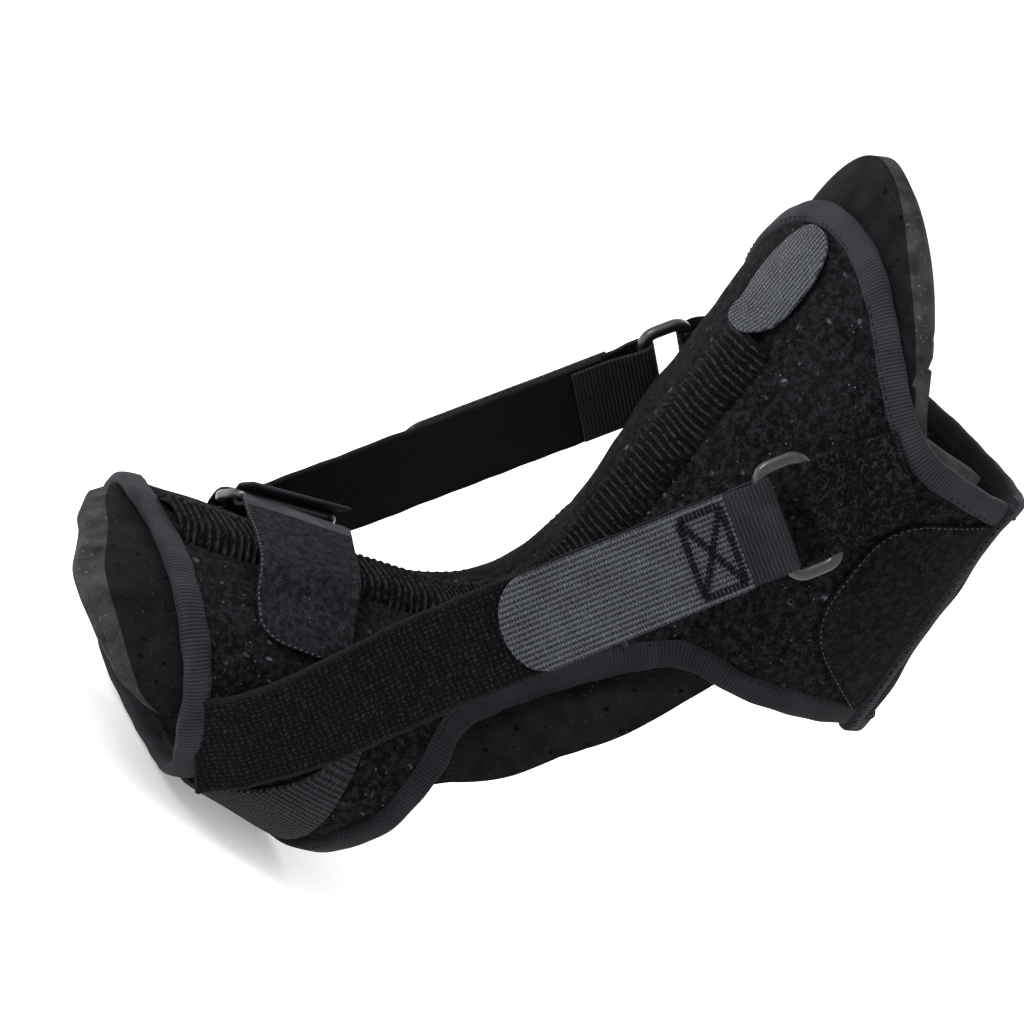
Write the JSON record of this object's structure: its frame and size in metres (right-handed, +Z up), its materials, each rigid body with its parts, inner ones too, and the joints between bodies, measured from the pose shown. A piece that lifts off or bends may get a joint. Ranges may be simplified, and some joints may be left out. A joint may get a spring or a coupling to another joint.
{
  "type": "ankle foot orthosis",
  "caption": "Soft dorsal ankle foot orthosis: foam lined shell over shin and foot, aluminium stay in a ribbed channel, traction straps through rings, hook and loop closures.",
  "frame": {"origin": "centre of the ankle joint of the wearer's right foot, between the ankle bones", "axes": "+Z up the leg, toes towards -Y, +X towards the inner (medial) side of the foot"},
  "size_m": [0.1369, 0.2657, 0.2815],
  "materials": {
    "liner_foam": "matt closed-cell foam with a knitted face and bare cut edges",
    "shell_fabric": "black brushed loop fabric, slightly fuzzy, perforated",
    "edging_tape": "dark grey folded binding tape, fine ribs, stitched",
    "ribbed_channel": "black ribbed webbing tunnel",
    "stay_aluminium": "bare aluminium strip",
    "loop_webbing": "black loop-faced strap webbing",
    "grey_hook_tape": "dark grey woven back of hook tape, stitched with dark thread",
    "black_hook_tape": "black woven back of hook tape",
    "ring_plastic": "smoky dark moulded plastic"
  },
  "bodies": {
    "shin": {"shin_liner": "liner_foam", "shin_shell": "shell_fabric", "top_edging": "edging_tape", "shin_edging_medial": "edging_tape", "shin_edging_lateral": "edging_tape", "calf_band": "shell_fabric", "calf_band_edging": "edging_tape", "shin_channel": "ribbed_channel", "shin_stay": "stay_aluminium", "medial_ring_anchor": "loop_webbing", "lateral_ring_anchor": "loop_webbing"},
    "foot": {"foot_liner": "liner_foam", "foot_shell": "shell_fabric", "toe_edging": "edging_tape", "foot_edging_medial": "edging_tape", "foot_edging_lateral": "edging_tape", "foot_channel": "ribbed_channel", "foot_stay": "stay_aluminium", "forefoot_ring": "ring_plastic", "forefoot_ring_anchor": "loop_webbing", "forefoot_tab_loop": "loop_webbing"},
    "medial_ring": {"medial_ring": "ring_plastic", "medial_strap_loop": "loop_webbing"},
    "lateral_ring": {"lateral_ring": "ring_plastic", "lateral_strap_loop": "loop_webbing"},
    "medial_strap": {"medial_strap": "loop_webbing"},
    "lateral_strap": {"lateral_strap": "loop_webbing"},
    "medial_hook_tab": {"medial_hook_tab": "grey_hook_tape"},
    "lateral_hook_tab": {"lateral_hook_tab": "grey_hook_tape"},
    "calf_hook_tab": {"calf_hook_tab": "black_hook_tape"},
    "stay_flap": {"stay_flap": "grey_hook_tape"},
    "sole_flap": {"sole_flap": "black_hook_tape"},
    "forefoot_tab": {"forefoot_tab": "black_hook_tape"}
  },
  "joints": [
    {"name": "ankle_flex", "type": "hinge", "parent": "shin", "child": "foot", "pos_m": [-0.00532, -0.06332, 0.01498], "axis": [-1, 0, 0], "range_deg": [0, 10]},
    {"name": "medial_strap_swing", "type": "hinge", "parent": "foot", "child": "medial_strap", "pos_m": [0.04062, -0.14774, -0.06561], "axis": [-1, 0, 0], "range_deg": [-4.4, 0]},
    {"name": "lateral_strap_swing", "type": "hinge", "parent": "foot", "child": "lateral_strap", "pos_m": [-0.07169, -0.13796, -0.06764], "axis": [-1, 0, 0], "range_deg": [-4.6, 0]},
    {"name": "medial_ring_swing", "type": "hinge", "parent": "shin", "child": "medial_ring", "pos_m": [0.05413, -0.03683, 0.10186], "axis": [-1, 0, 0], "range_deg": [0, 5.7]},
    {"name": "lateral_ring_swing", "type": "hinge", "parent": "shin", "child": "lateral_ring", "pos_m": [-0.06344, -0.01983, 0.09816], "axis": [-1, 0, 0], "range_deg": [0, 5.7]},
    {"name": "medial_tab_peel", "type": "hinge", "parent": "medial_ring", "child": "medial_hook_tab", "pos_m": [0.05524, -0.05381, 0.07912], "axis": [-0.468, -0.7189, 0.514], "range_deg": [0, 120]},
    {"name": "lateral_tab_peel", "type": "hinge", "parent": "lateral_ring", "child": "lateral_hook_tab", "pos_m": [-0.06796, -0.03639, 0.07553], "axis": [-0.104, 0.8121, -0.5741], "range_deg": [0, 120]},
    {"name": "calf_tab_peel", "type": "hinge", "parent": "shin", "child": "calf_hook_tab", "pos_m": [0.05925, 0.02162, 0.08988], "axis": [0.049, -0.134, 0.9898], "range_deg": [0, 110]},
    {"name": "stay_flap_peel", "type": "hinge", "parent": "shin", "child": "stay_flap", "pos_m": [-0.00443, -0.0561, 0.16284], "axis": [-1, 0, 0], "range_deg": [0, 90]},
    {"name": "sole_flap_peel", "type": "hinge", "parent": "foot", "child": "sole_flap", "pos_m": [-0.00074, -0.11105, -0.08877], "axis": [0.104, 0.994, -0.035], "range_deg": [0, 60]},
    {"name": "forefoot_tab_peel", "type": "hinge", "parent": "foot", "child": "forefoot_tab", "pos_m": [-0.04117, -0.12409, -0.00338], "axis": [0, -0.9703, -0.2421], "range_deg": [0, 90]}
  ],
  "couplings": [
    {"joint": "medial_strap_swing", "follows": "ankle_flex", "ratio": -0.432},
    {"joint": "lateral_strap_swing", "follows": "ankle_flex", "ratio": -0.456},
    {"joint": "medial_ring_swing", "follows": "ankle_flex", "ratio": 0.568},
    {"joint": "lateral_ring_swing", "follows": "ankle_flex", "ratio": 0.544}
  ]
}
